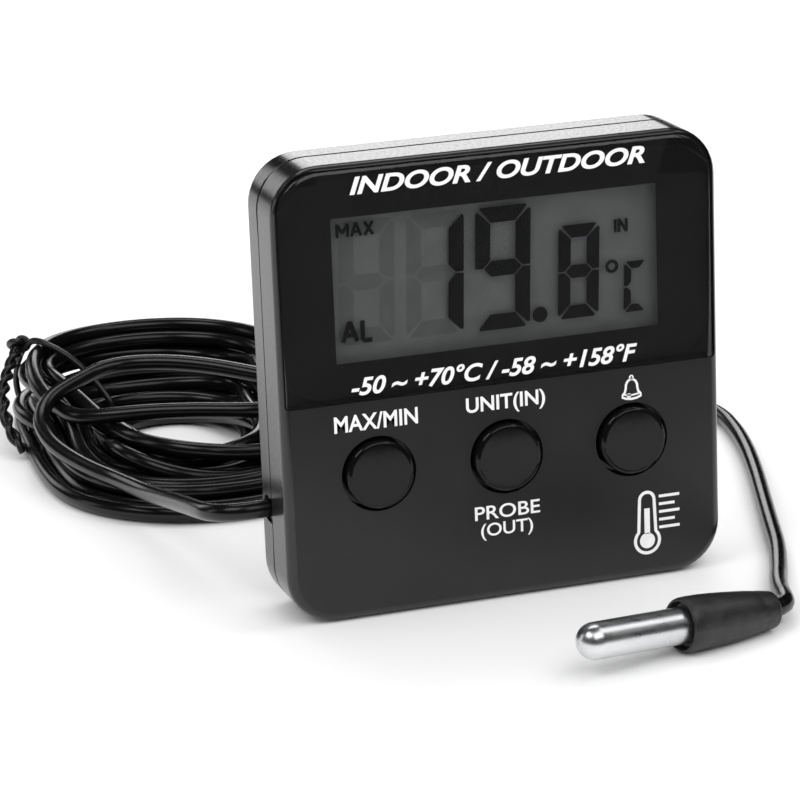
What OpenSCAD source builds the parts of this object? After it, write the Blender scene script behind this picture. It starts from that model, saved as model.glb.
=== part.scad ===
// Digital maximum minimum thermometer with a wired probe.
// X runs to the right of the display, Y runs from the front to the back, Z runs up.
// The origin is under the middle of the case, on the surface that the case stands on.
// Inside the case, depths are counted from the front face towards the back.

/* [Case] */
// Width of the case
case_w = 70; // [68:0.5:74]
// Height of the case
case_h = 70; // [69:0.5:74]
// Thickness of the case, front face to back face
case_t = 14; // [14:0.1:16]
// Radius of the four corners seen from the front
corner_r = 7.5; // [6.5:0.1:8.5]
// Radius of the rounded front and back edges
edge_r = 1.6; // [1.2:0.1:2]
// Thickness of the side walls
wall = 1.6; // [1.4:0.1:1.8]
// Depth of the front shell, where it meets the rear shell
parting_d = 8; // [7.8:0.1:8.2]

/* [Display] */
// Height of the lower edge of the lens above the base
lens_z = 33.9; // [33.5:0.1:34.5]
// Gap between the case side and the lens edge
lens_inset = 0.7; // [0.5:0.1:1]
// Thickness of the lens
lens_t = 1.65; // [1.5:0.05:1.7]
// Width of the clear window
window_w = 51.4; // [48:0.2:52]
// Height of the clear window
window_h = 22.1; // [20:0.1:22.5]
// Height of the window centre above the base
window_z = 50.65; // [50.4:0.05:50.9]

/* [Buttons] */
// Diameter of a button cap
cap_dia = 10.6; // [10:0.1:10.8]
// Diameter of the hole round a cap
cap_hole_dia = 11.7; // [11.4:0.1:12]
// How far a cap stands proud of the front face
cap_proud = 1.2; // [1:0.1:1.3]
// Distance between neighbouring buttons
button_pitch = 20.3; // [20:0.1:20.6]
// Height of the buttons above the base
button_z = 22.5; // [22.3:0.1:22.7]
// Button travel that is left free behind the switch plunger
button_travel = 0.8; // [0.6:0.05:0.8]

/* [Battery] */
// Diameter of the AAA cell
cell_dia = 10.5; // [10.3:0.1:10.5]
// Length of the AAA cell with its nub
cell_len = 44.5; // [44:0.1:44.5]
// Height of the cell axis above the base
cell_z = 7.9; // [7.8:0.05:8]

/* [Stand] */
// Length of the stand from its hinge to its foot
stand_len = 30.8; // [28:0.1:30.8]
// Width of the stand
stand_w = 21; // [18:0.5:21]
// Thickness of the stand
stand_t = 1.6; // [1.4:0.1:1.6]
// Height of the stand hinge above the base
stand_z = 18; // [18:0.1:18.2]

/* [Probe] */
// Diameter of the steel tip
tip_dia = 5.5; // [5:0.1:5.6]
// Length of the steel tip that shows
tip_len = 17.9; // [16:0.1:18.5]
// Length of the rubber sleeve
sleeve_len = 17; // [16:0.5:17.5]
// Diameter of the sleeve at the tip end
sleeve_front_dia = 8.2; // [8:0.1:8.4]
// Diameter of the sleeve at the cord end
sleeve_rear_dia = 5.7; // [5.5:0.1:5.8]

/* [Cord] */
// Diameter of the probe cord
cord_dia = 2.8; // [2.6:0.1:2.8]
// Radius of the round ends of the hank
hank_r = 27; // [26:0.5:27]
// Length of the straight sides of the hank
hank_straight = 33; // [30:1:34]
// Radius of the round ends of the hole in the hank
hank_hole_r = 8; // [7:0.5:10]
// Length of the straight sides of the hole in the hank
hank_hole_straight = 26; // [24:1:28]
// Height of the hank where it lies
hank_h = 16; // [14:0.5:17]

/* [Hidden] */

$fn = 64;
eps = 0.01;
hull_fn = 40;

// Place in Y of the front face, so that the case and its proud caps are centred on the origin
front_y = -(case_t - cap_proud) / 2;

// Depths from the front face
front_wall_d = 1.7;
lens_pocket_d = 1.8;
window_wall_d = 2.9;
lcd_d = 3;
glass_t = 0.8;
reflector_t = 0.2;
board_d = 7.4;
board_t = 1.2;
board_back_d = board_d + board_t;
rear_inner_d = case_t - 1.5;

// Inside of the case
inner_r = corner_r - wall;
inner_w = case_w - 2 * wall;
inner_h = case_h - 2 * wall;

// Lens and display cell
lens_top = case_h - lens_inset;
lens_h = lens_top - lens_z;
lens_w = case_w - 2 * lens_inset;
lens_crown_r = 2.4;
lens_crown_drop = 0.9;
lens_fit = 0.08;
front_glass = [54.6, 27, 36.6];
rear_glass = [54.6, 24.7, 38.9];
zebra = [50, 1.7, 36.9];
frame_size = [57.2, 29.8, 35.2];

// Printed board
board_w = 56.4;
board_z = [17.6, 65.5];
board_corner_r = 4.5;

// Buttons and switches
flange_dia = 13.2;
flange_d = 1.75;
flange_t = 1.1;
stem_dia = 4.6;
plunger_dia = 3.4;
plunger_clearance = 0.08;
plunger_d = flange_d + flange_t + 0.25;
switch_w = 6;
switch_h = 3.4;
switch_d = board_d - switch_h;
plunger_len = 2.4;

// Screws
case_screw_x = [30.6, 30.9];
case_screw_z = [65.6, 24.5];
boss_r = 2.3;
case_screw_r = 0.9;
screw_head_r = 1.8;
board_screw_places = [[-25.6, 31.6], [25.6, 31.6], [-10.15, 19.9], [10.15, 19.9]];
board_screw_r = 0.7;
board_boss_r = 2;

// Battery bay
cell_d = 7;
bay_rib_t = 1.2;
bay_rib_d = 11.2;
bay_rib_z = 12.3;
contact_t = 0.4;
spring_len = 2.6;
door_x = -24.5;
door_z = [2.6, 13.6];
door_clearance = 0.15;
tongue_z = [2, 14.2];
tongue_d = [rear_inner_d - 0.05, rear_inner_d + 0.55];
door_tab_d = 10;
tongue_end_x = 33;

// Stand
hinge_d = 12.7;
recess_side_gap = 0.6;
recess_floor_d = 11.7;
bulge_d = 10.5;
cheek_t = 1.4;
stand_pin_r = 0.8;
stand_pin_clearance = 0.05;
recess_w = stand_w + 2 * recess_side_gap;
recess_bottom_z = stand_z - 2.05;
recess_top_z = stand_z + stand_len + 0.4;
scoop_r = 5;

// Wall hook
keyhole_z = 57.6;
keyhole_r = 4;
keyhole_slot_w = 4.2;
keyhole_slot_z = 63;

// Alarm sounder and air vents
buzzer_place = [20, 57];
buzzer_r = 6;
vent_place = [-22, 57];

// Cord exit on the left side
exit_d = 10;
exit_y = front_y + exit_d;
exit_z = 16.2;
cord_r = cord_dia / 2;
grommet_r = 1.95;
grommet_clearance = 0.1;
grommet_inset = 0.4;
grommet_face_x = -case_w / 2 + grommet_inset;
grommet_inner_x = -case_w / 2 + wall + 1.4;
jacket_end_x = -29.6;
wire_r = 0.45;

// Probe: the back of the sleeve, its heading on the surface, and how the tapered sleeve tilts it
sleeve_taper = atan((sleeve_front_dia - sleeve_rear_dia) / 2 / sleeve_len);
probe_place = [30.5, -35.2, sleeve_rear_dia / 2 * cos(sleeve_taper)];
probe_heading = 194;
tip_depth = 9;
mouth_depth = 1.2;

// Hank of cord on the surface behind the case
hank_place = [-26, 91.6];
tie_angle = 150;
tie_w = 3;
tie_t = 0.8;

// Route of the cord from the grommet to the hank
lead_route = [
    [grommet_face_x, exit_y, exit_z], [-36.6, 3.6, 16.15], [-39, 4.1, 16], [-41.1, 5.5, 15.7],
    [-42.5, 7.6, 15.3], [-43.1, 10.3, 14.8], [-43.3, 14, 14.1], [-43.4, 21, 12.7], [-43.4, 31, 10.6],
    [-43.8, 43, 8.3], [-45, 52, 7.3], [-46.2, 58, 6.9]
];

// Route of the cord from the hank, round on the surface, to the sleeve
tail_route = [
    [-9, 129.1, 1.4], [0, 124.5, 1.4], [12, 119, 1.4], [26, 113, 1.4], [38, 107, 1.4], [49, 99, 1.4],
    [58, 88.5, 1.4], [63.8, 77, 1.4], [65.8, 66, 1.4], [64.6, 56, 1.4], [61.6, 44, 1.4], [57.5, 31, 1.4],
    [53, 18, 1.4], [49, 6.5, 1.4], [45, -5, 1.4], [41.2, -14, 1.5], [38, -21, 1.8], [36.1, -26, 2.1],
    [35.1, -29, 2.4], [34.45, -31.3, 2.6], [33.5, -33.2, 2.7], [32.1, -34.5, 2.8], probe_place
];

case_color = [0.09, 0.09, 0.1];
inner_color = [0.16, 0.16, 0.17];
board_color = [0.05, 0.32, 0.16];
steel_color = [0.78, 0.78, 0.8];
cord_color = [0.03, 0.03, 0.03];

// ---- Shared shapes ----

// Outline with round corners, standing from z = 0 and centred on x = 0
module outline(w, h, r) {
    translate([-w / 2 + r, 0]) square([w - 2 * r, h]);
    translate([-w / 2, r]) square([w, h - 2 * r]);
    for (x = [-w / 2 + r, w / 2 - r], z = [r, h - r]) translate([x, z]) circle(r);
}

// Draws a flat outline between two depths
module between(d0, d1) {
    translate([0, front_y + d1, 0]) rotate([90, 0, 0]) linear_extrude(d1 - d0) children();
}

module plate(w, h, r, z, d0, d1) {
    between(d0, d1) translate([0, z]) outline(w, h, r);
}

module block(x0, x1, d0, d1, z0, z1) {
    translate([x0, front_y + d0, z0]) cube([x1 - x0, d1 - d0, z1 - z0]);
}

// Round bar or hole along the depth
module rod(x, z, r, d0, d1) {
    translate([x, front_y + d1, z]) rotate([90, 0, 0]) cylinder(h = d1 - d0, r = r);
}

// Solid body with one rounded face: from the flat depth to the rounded depth
module rounded_body(flat_d, round_d, w = case_w, h = case_h, r = corner_r, edge = edge_r, drop = edge_r) {
    side = round_d > flat_d ? 1 : -1;
    reach = abs(round_d - flat_d);
    steps = 8;
    rim = [for (i = [0:steps]) [
        r - edge + edge * cos(i * 90 / steps),
        reach - drop + drop * sin(i * 90 / steps)
    ]];
    hull()
        for (x = [-w / 2 + r, w / 2 - r], z = [r, h - r])
            translate([x, front_y + flat_d, z]) rotate([-90 * side, 0, 0])
                rotate_extrude($fn = hull_fn) polygon(concat([[0, 0], [r, 0]], rim, [[0, reach]]));
}

function unit(v) = v / norm(v);
function heading(route, i) = unit(route[min(i + 1, len(route) - 1)] - route[max(i - 1, 0)]);

// Point on the smooth curve through a route, between points i and i + 1
function spline(p0, p1, p2, p3, t) = 0.5 * (2 * p1 + (p2 - p0) * t
    + (2 * p0 - 5 * p1 + 4 * p2 - p3) * t * t + (3 * p1 - p0 - 3 * p2 + p3) * t * t * t);
function smooth_route(route, steps) = [
    for (i = [0:len(route) - 2], s = [0:steps - 1])
        spline(route[max(i - 1, 0)], route[i], route[i + 1], route[min(i + 2, len(route) - 1)], s / steps),
    route[len(route) - 1]
];

// Tube with eight sides swept along a route, which never runs along the direction beside
module tube(route, r, beside = [0, 0, 1]) {
    sides = 8;
    rings = [for (i = [0:len(route) - 1])
        let (along = heading(route, i), right = unit(cross(along, beside)), up = cross(right, along))
            [for (k = [0:sides - 1]) route[i] + r * (right * cos(k * 360 / sides) + up * sin(k * 360 / sides))]];
    skin = [for (i = [0:len(route) - 2], k = [0:sides - 1])
        let (n = (k + 1) % sides)
            [i * sides + k, i * sides + n, (i + 1) * sides + n, (i + 1) * sides + k]];
    start_cap = [[for (k = [0:sides - 1]) sides - 1 - k]];
    end_cap = [[for (k = [0:sides - 1]) (len(route) - 1) * sides + k]];
    polyhedron([for (ring = rings, p = ring) p], concat(skin, start_cap, end_cap));
}

// ---- Case ----

module button_places() {
    for (i = [-1:1]) translate([i * button_pitch, 0, 0]) children();
}

module case_screw_spots() {
    for (side = [-1, 1], i = [0, 1]) translate([side * case_screw_x[i], 0, case_screw_z[i]]) children();
}

module front_cover() {
    color(case_color) difference() {
        union() {
            difference() {
                rounded_body(parting_d, 0);
                difference() {
                    plate(inner_w, inner_h, inner_r, wall, front_wall_d, parting_d + 1);
                    plate(lens_w + 2, lens_h + 2, inner_r, lens_z - 1, front_wall_d - 1, window_wall_d);
                }
                lens_shape(0, -1, lens_fit);
            }
            for (side = [-1, 1]) {
                rod(side * case_screw_x[0], case_screw_z[0], boss_r, window_wall_d - eps, parting_d);
                rod(side * case_screw_x[1], case_screw_z[1], boss_r, front_wall_d - eps, parting_d);
            }
            for (p = board_screw_places) rod(p[0], p[1], board_boss_r, front_wall_d - eps, board_d);
            battery_ribs();
        }
        block(-window_w / 2 - 1, window_w / 2 + 1, 0, window_wall_d + eps,
            window_z - window_h / 2 - 0.8, window_z + window_h / 2 + 0.8);
        button_places() rod(0, button_z, cap_hole_dia / 2, -1, front_wall_d + eps);
        case_screw_spots() rod(0, 0, case_screw_r, window_wall_d + 0.6, parting_d + 1);
        for (p = board_screw_places) rod(p[0], p[1], board_screw_r, 3, board_d + 1);
    }
}

// Pocket for the lens, or the plain block of the lens outline
module lens_shape(inset, d0, grow) {
    plate(lens_w + 2 * grow - 2 * inset, lens_h + grow - inset, inner_r, lens_z + inset, d0, lens_pocket_d);
    plate(lens_w + 2 * grow - 2 * inset, 12, 0.6, lens_z + inset, d0, lens_pocket_d);
}

// Ribs that hold the two battery contacts
module battery_ribs() {
    right_x = cell_len / 2 + contact_t + 0.1;
    left_x = -cell_len / 2 - spring_len - contact_t - 0.1;
    for (x = [right_x, left_x - bay_rib_t]) {
        block(x, x + bay_rib_t, front_wall_d - eps, parting_d, wall - eps, bay_rib_z);
        block(x, x + bay_rib_t, parting_d - eps, bay_rib_d, wall + 0.1, bay_rib_z);
    }
}

module rear_cover() {
    color(case_color) difference() {
        union() {
            difference() {
                rounded_body(parting_d, case_t);
                plate(inner_w, inner_h, inner_r, wall, parting_d - 1, rear_inner_d);
            }
            case_screw_spots() rod(0, 0, boss_r, parting_d, rear_inner_d + eps);
            block(-recess_w / 2 - cheek_t, recess_w / 2 + cheek_t, bulge_d, rear_inner_d + eps,
                recess_bottom_z - 1, recess_top_z + cheek_t);
            // Rails under the tongues of the battery door
            block(-26, 30, rear_inner_d - 1.2, rear_inner_d - 0.2, wall - eps, 2.5);
            block(-26, 27, rear_inner_d - 1.2, rear_inner_d + eps, 13.8, recess_bottom_z - 0.5);
        }
        stand_recess();
        door_opening();
        keyhole();
        vents_and_sound_holes();
        cord_notch();
        case_screw_spots() {
            rod(0, 0, case_screw_r + 0.25, parting_d - 1, case_t + 1);
            rod(0, 0, screw_head_r + 0.2, case_t - 1.4, case_t + 1);
        }
    }
}

module stand_recess() {
    block(-recess_w / 2, recess_w / 2, recess_floor_d, case_t + 1, recess_bottom_z, recess_top_z);
    rod(0, recess_top_z - 1.5, scoop_r, recess_floor_d + 0.9, case_t + 1);
    translate([-stand_w / 2 - 1.7, front_y + hinge_d, stand_z]) rotate([0, 90, 0])
        cylinder(h = stand_w + 3.4, r = stand_pin_r + stand_pin_clearance);
}

module door_opening() {
    gap = door_clearance;
    block(door_x - gap, case_w, tongue_d[1] - gap, case_t + 1, door_z[0] - gap, door_z[1] + gap);
    block(door_x - gap, case_w, tongue_d[0] - gap, tongue_d[1] + gap, tongue_z[0] - gap, tongue_z[1] + gap);
    block(case_w / 2 - wall - gap, case_w, door_tab_d - gap, case_t + 1, door_z[0] - gap, door_z[1] + gap);
}

module keyhole() {
    rod(0, keyhole_z, keyhole_r, rear_inner_d - 1, case_t + 1);
    rod(0, keyhole_slot_z, keyhole_slot_w / 2, rear_inner_d - 1, case_t + 1);
    block(-keyhole_slot_w / 2, keyhole_slot_w / 2, rear_inner_d - 1, case_t + 1, keyhole_z, keyhole_slot_z);
}

module vents_and_sound_holes() {
    for (i = [-2:2])
        block(vent_place[0] - 5, vent_place[0] + 5, rear_inner_d - 1, case_t + 1,
            vent_place[1] + i * 2.4 - 0.6, vent_place[1] + i * 2.4 + 0.6);
    for (i = [0:5])
        rod(buzzer_place[0] + 3 * cos(i * 60), buzzer_place[1] + 3 * sin(i * 60), 0.6,
            rear_inner_d - 1, case_t + 1);
    rod(buzzer_place[0], buzzer_place[1], 0.6, rear_inner_d - 1, case_t + 1);
}

// Notch in the left side, open at the parting line
module cord_notch() {
    half = grommet_r + grommet_clearance;
    block(-case_w, -case_w / 2 + wall + 1, parting_d - 1, exit_d, exit_z - half, exit_z + half);
    translate([-case_w, front_y + exit_d, exit_z]) rotate([0, 90, 0])
        cylinder(h = case_w / 2 + wall + 1, r = half);
}

module case_screws() {
    color(steel_color) case_screw_spots() difference() {
        union() {
            rod(0, 0, case_screw_r, window_wall_d + 2, case_t - 1.4);
            rod(0, 0, screw_head_r, case_t - 1.4, case_t - 0.3);
        }
        block(-1.1, 1.1, case_t - 0.8, case_t, -0.2, 0.2);
        block(-0.2, 0.2, case_t - 0.8, case_t, -1.1, 1.1);
    }
}

// ---- Display ----

module display_lens() {
    color([0.1, 0.1, 0.11]) intersection() {
        lens_shape(0, 0, 0);
        translate([0, 0, lens_z - 10])
            rounded_body(lens_t, 0, lens_w, lens_h + 10, inner_r + 0.9, lens_crown_r, lens_crown_drop);
    }
}

module display_mask() {
    color([0.02, 0.02, 0.02]) difference() {
        plate(lens_w - 1, lens_h - 1, inner_r, lens_z + 0.5, lens_t, lens_pocket_d);
        block(-window_w / 2, window_w / 2, 0, lens_pocket_d + 1,
            window_z - window_h / 2, window_z + window_h / 2);
    }
}

module glass(size, d0, d1) {
    block(-size[0] / 2, size[0] / 2, d0, d1, size[2], size[2] + size[1]);
}

module lcd_front_glass() {
    color([0.55, 0.58, 0.55]) glass(front_glass, lcd_d, lcd_d + glass_t);
}

module lcd_rear_glass() {
    color([0.5, 0.53, 0.5]) glass(rear_glass, lcd_d + glass_t, lcd_d + 2 * glass_t);
}

module lcd_reflector() {
    color([0.4, 0.42, 0.4]) glass(rear_glass, lcd_d + 2 * glass_t, lcd_d + 2 * glass_t + reflector_t);
}

module lcd_frame() {
    gap = 0.1;
    ledge_d = lcd_d + 2 * glass_t + reflector_t;
    color(inner_color) difference() {
        plate(frame_size[0], frame_size[1], 3, frame_size[2], lcd_d + 0.05, board_d);
        block(-front_glass[0] / 2 - gap, front_glass[0] / 2 + gap, 0, lcd_d + glass_t,
            front_glass[2] - gap, front_glass[2] + front_glass[1] + gap);
        block(-rear_glass[0] / 2 - gap, rear_glass[0] / 2 + gap, 0, ledge_d,
            rear_glass[2] - gap, rear_glass[2] + rear_glass[1] + gap);
        block(-zebra[0] / 2 - gap, zebra[0] / 2 + gap, 0, board_d + 1,
            zebra[2] - gap, zebra[2] + zebra[1] + gap);
        block(-24.5, 24.5, 0, board_d + 1, 40.2, 62.4);
    }
}

module zebra_strip() {
    color([0.75, 0.4, 0.5]) block(-zebra[0] / 2, zebra[0] / 2, lcd_d + glass_t, board_d,
        zebra[2], zebra[2] + zebra[1]);
}

// ---- Board ----

module circuit_board() {
    color(board_color) difference() {
        union() {
            plate(board_w, board_z[1] - board_z[0], board_corner_r, board_z[0], board_d, board_back_d);
            plate(board_w, 20, 1, board_z[0], board_d, board_back_d);
        }
        for (p = board_screw_places) rod(p[0], p[1], board_screw_r + 0.1, board_d - 1, board_back_d + 1);
    }
}

module board_screws() {
    color(steel_color) for (p = board_screw_places) {
        rod(p[0], p[1], board_screw_r, 3.4, board_back_d);
        rod(p[0], p[1], 1.5, board_back_d, board_back_d + 0.9);
    }
}

// Low dome of resin over the bare chip
module driver_chip() {
    dome_r = 5;
    rise = 1;
    steps = 6;
    arc = [for (i = [0:steps]) [dome_r * cos(i * 90 / steps), rise * sin(i * 90 / steps)]];
    color([0.03, 0.03, 0.03]) translate([0, front_y + board_back_d, 42]) rotate([-90, 0, 0])
        rotate_extrude() polygon(concat([[0, 0]], arc));
}

module timing_crystal() {
    color(steel_color) translate([-21, front_y + board_back_d + 1, 24]) rotate([0, 90, 0])
        cylinder(h = 6, r = 1, $fn = 32);
}

// Small chip resistors and capacitors, each its own solid
module board_components() {
    places = [[-14.5, 26], [-14.5, 29], [15.5, 28], [18.5, 28], [21.5, 28], [-8, 33], [8, 33], [14, 46]];
    color([0.55, 0.42, 0.25]) for (p = places)
        block(p[0] - 0.6, p[0] + 0.6, board_back_d, board_back_d + 0.7, p[1] - 1, p[1] + 1);
}

module alarm_buzzer() {
    color([0.05, 0.05, 0.05]) difference() {
        rod(buzzer_place[0], buzzer_place[1], buzzer_r, board_back_d, board_back_d + 3.4);
        rod(buzzer_place[0], buzzer_place[1], 1, board_back_d + 2, board_back_d + 4);
    }
}

// Bead on two legs
module air_sensor() {
    bead = [vent_place[0], front_y + board_back_d + 2.2, vent_place[1]];
    color([0.1, 0.1, 0.1]) {
        translate(bead) sphere(1.1, $fn = 32);
        for (side = [-1, 1])
            rod(bead[0] + side * 0.6, bead[2], 0.25, board_back_d, board_back_d + 1.6);
    }
}

// ---- Buttons ----

module switch_body() {
    color(inner_color) difference() {
        block(-switch_w / 2, switch_w / 2, switch_d, board_d, button_z - switch_w / 2, button_z + switch_w / 2);
        rod(0, button_z, plunger_dia / 2 + plunger_clearance,
            switch_d - 1, plunger_d + plunger_len + button_travel + 0.1);
    }
}

module switch_plunger() {
    color([0.75, 0.72, 0.65]) rod(0, button_z, plunger_dia / 2, plunger_d, plunger_d + plunger_len);
}

// Cap with a rounded rim, a flange that keeps it in, and a short stem
module button() {
    rim = 0.7;
    steps = 6;
    height = cap_proud + flange_d;
    arc = [for (i = [0:steps]) [
        cap_dia / 2 - rim + rim * cos(i * 90 / steps),
        height - rim + rim * sin(i * 90 / steps)
    ]];
    color([0.04, 0.04, 0.04]) {
        translate([0, front_y + flange_d, button_z]) rotate([90, 0, 0])
            rotate_extrude() polygon(concat([[0, 0], [cap_dia / 2, 0]], arc, [[0, height]]));
        rod(0, button_z, flange_dia / 2, flange_d, flange_d + flange_t);
        rod(0, button_z, stem_dia / 2, flange_d + flange_t, plunger_d);
    }
}

module at_button(i) {
    translate([(i - 2) * button_pitch, 0, 0]) children();
}

// ---- Battery ----

module battery_cell() {
    nub_len = 1;
    body_len = cell_len - nub_len;
    color([0.85, 0.7, 0.2]) translate([-cell_len / 2, front_y + cell_d, cell_z]) rotate([0, 90, 0]) {
        cylinder(h = body_len, r = cell_dia / 2);
        translate([0, 0, body_len]) cylinder(h = nub_len, r = 1.9);
    }
}

module battery_contact_positive() {
    color(steel_color)
        block(cell_len / 2, cell_len / 2 + contact_t, cell_d - 3.5, cell_d + 3.5, cell_z - 4.5, cell_z + 4.5);
}

// Flat plate with a spring of round wire, wound as a cone towards the cell
module battery_spring_negative() {
    coil_r = 0.3;
    turns = 3;
    steps = 36;
    plate_x = -cell_len / 2 - spring_len - contact_t;
    rise = spring_len - 2 * coil_r + 0.1;
    coil = [for (i = [0:steps])
        let (t = i / steps, r = 3.6 - 1.8 * t, a = 360 * turns * t)
            [plate_x + contact_t + coil_r - 0.1 + rise * t, front_y + cell_d + r * cos(a), cell_z + r * sin(a)]];
    color(steel_color) {
        block(plate_x, plate_x + contact_t, cell_d - 4, cell_d + 4, cell_z - 4.5, cell_z + 4.5);
        tube(coil, coil_r, [1, 0, 0]);
    }
}

// Two insulated wires from the contacts to the back of the board
module battery_wires() {
    wire_y = front_y + board_back_d + 0.45;
    top_z = cell_z + 4.5;
    plus_x = cell_len / 2 + contact_t / 2;
    minus_x = -cell_len / 2 - spring_len - contact_t / 2;
    color([0.7, 0.1, 0.1]) tube([
        [plus_x, wire_y, top_z], [plus_x, wire_y, top_z + 2.4], [plus_x - 0.8, wire_y, top_z + 4.2],
        [plus_x - 2, wire_y, top_z + 6], [plus_x - 2.4, wire_y, top_z + 8]
    ], wire_r, [0, 1, 0]);
    color([0.05, 0.05, 0.05]) tube([
        [minus_x, wire_y, top_z], [minus_x, wire_y, top_z + 1.4], [minus_x + 2.4, wire_y, top_z + 3.2],
        [minus_x + 5, wire_y, top_z + 5], [minus_x + 6.2, wire_y, top_z + 8]
    ], wire_r, [0, 1, 0]);
}

module battery_door() {
    color(case_color) difference() {
        intersection() {
            rounded_body(parting_d, case_t);
            union() {
                block(door_x, case_w, tongue_d[0], case_t, door_z[0], door_z[1]);
                block(door_x, tongue_end_x, tongue_d[0], tongue_d[1], tongue_z[0], tongue_z[1]);
                block(case_w / 2 - wall, case_w, door_tab_d, case_t, door_z[0], door_z[1]);
            }
        }
        // Grip grooves for the thumb
        for (i = [0:4]) block(20 + i * 1.8, 20.8 + i * 1.8, case_t - 0.4, case_t + 1, 5, 11.2);
    }
}

// ---- Stand ----

module fold_out_stand() {
    half = stand_w / 2;
    color(case_color) difference() {
        union() {
            translate([-half, front_y + hinge_d, stand_z]) rotate([0, 90, 0])
                cylinder(h = stand_w, r = stand_t / 2);
            translate([-half - 1.2, front_y + hinge_d, stand_z]) rotate([0, 90, 0])
                cylinder(h = stand_w + 2.4, r = stand_pin_r);
            block(-half, half, hinge_d - stand_t / 2, hinge_d + stand_t / 2, stand_z, stand_z + stand_len);
        }
        block(-half + 4, half - 4, hinge_d + 0.4, case_t, stand_z + 4, stand_z + stand_len - 6);
    }
}

// ---- Cord ----

module cord_grommet() {
    half = grommet_r;
    fit_d = parting_d + 0.05;
    color(cord_color) difference() {
        union() {
            translate([grommet_face_x, front_y + exit_d, exit_z]) rotate([0, 90, 0])
                cylinder(h = grommet_inner_x - grommet_face_x, r = half);
            block(grommet_face_x, grommet_inner_x, fit_d, exit_d, exit_z - half, exit_z + half);
            translate([-case_w / 2 + wall + 0.1, front_y + exit_d, exit_z]) rotate([0, 90, 0])
                cylinder(h = 1.3, r = 2.45);
        }
        translate([-case_w, front_y + exit_d, exit_z]) rotate([0, 90, 0]) cylinder(h = case_w, r = cord_r);
    }
}

module cord_jacket_end() {
    color(cord_color) translate([grommet_face_x, front_y + exit_d, exit_z]) rotate([0, 90, 0])
        cylinder(h = jacket_end_x - grommet_face_x, r = cord_r);
}

// The two cores, from the jacket's end to the back of the board
module cord_cores() {
    for (side = [0, 1])
        color(side == 0 ? [0.85, 0.85, 0.85] : [0.7, 0.1, 0.1]) tube([
            [jacket_end_x, exit_y - 0.55 + 1.1 * side, exit_z],
            [jacket_end_x + 1.2, exit_y - 0.55 + 1.1 * side, exit_z + 0.4],
            [jacket_end_x + 2.6, exit_y - 0.55 + 1.1 * side, exit_z + 2.6],
            [-25.4 + 2.4 * side, exit_y - 0.8 + 0.6 * side, 20.4],
            [-24.8 + 2.4 * side, exit_y - 0.9 + 0.2 * side, 20.8],
            [-24.6 + 2.4 * side, front_y + board_back_d, 21]
        ], wire_r, [0.2, 0.3, 1]);
}

module cord_lead() {
    color(cord_color) tube(smooth_route(lead_route, 2), cord_r);
}

// Outline with two round ends, along Y
module hank_outline(r, straight) {
    for (side = [-1, 1]) translate([0, side * straight / 2]) circle(r);
    translate([-r, -straight / 2]) square([2 * r, straight]);
}

module hank_block(inset) {
    translate([hank_place[0], hank_place[1], inset]) linear_extrude(hank_h - 2 * inset) difference() {
        hank_outline(hank_r - inset, hank_straight);
        hank_outline(hank_hole_r + inset, hank_hole_straight);
    }
}

// Band round the back left corner of the hank
module tie_band() {
    difference() {
        intersection() {
            hank_block(0);
            translate([hank_place[0], hank_place[1] + hank_straight / 2, -1]) rotate(tie_angle)
                translate([0, -tie_w / 2, 0]) cube([2 * hank_r, tie_w, hank_h + 2]);
        }
        hank_block(tie_t);
    }
}

module cord_hank() {
    color(cord_color) difference() {
        hank_block(0);
        tie_band();
    }
}

module cord_tie() {
    color(cord_color) tie_band();
}

module cord_tail() {
    color(cord_color) tube(smooth_route(tail_route, 2), cord_r);
}

// ---- Probe ----

// Children are drawn along +X from the back of the sleeve
module along_probe() {
    translate(probe_place) rotate([0, -sleeve_taper, probe_heading]) rotate([0, 90, 0]) children();
}

module probe_sleeve() {
    tip_start = sleeve_len - tip_depth;
    color([0.08, 0.08, 0.08]) along_probe() rotate_extrude() polygon([
        [0, 0], [sleeve_rear_dia / 2, 0], [sleeve_front_dia / 2, sleeve_len],
        [sleeve_front_dia / 2 - 0.6, sleeve_len], [tip_dia / 2, sleeve_len - mouth_depth],
        [tip_dia / 2, tip_start], [0, tip_start]
    ]);
}

// Closed steel tube with a round end
module probe_tip() {
    tube_len = tip_depth + tip_len;
    tip_r = tip_dia / 2;
    skin = 0.4;
    color(steel_color) along_probe() translate([0, 0, sleeve_len - tip_depth]) difference() {
        union() {
            cylinder(h = tube_len - tip_r, r = tip_r);
            translate([0, 0, tube_len - tip_r]) sphere(tip_r);
        }
        translate([0, 0, -1]) cylinder(h = tube_len - tip_r + 1, r = tip_r - skin);
    }
}

sensor_place = sleeve_len + tip_len - tip_dia / 2 - 3;

module probe_sensor() {
    color([0.2, 0.2, 0.22]) along_probe() {
        translate([0, 0, sensor_place]) sphere(1.1, $fn = 32);
        for (side = [-1, 1]) translate([side * 0.6, 0, sensor_place - 8]) cylinder(h = 8, r = 0.25, $fn = 16);
    }
}

// Resin that fills the tip round the sensor
module probe_potting() {
    start = sleeve_len - tip_depth;
    color([0.3, 0.25, 0.2]) along_probe() difference() {
        translate([0, 0, start]) cylinder(h = tip_depth + tip_len - tip_dia / 2 - eps, r = tip_dia / 2 - 0.4);
        translate([0, 0, sensor_place]) sphere(1.1, $fn = 32);
        for (side = [-1, 1]) translate([side * 0.6, 0, sensor_place - 8]) cylinder(h = 8, r = 0.25, $fn = 16);
    }
}

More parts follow.
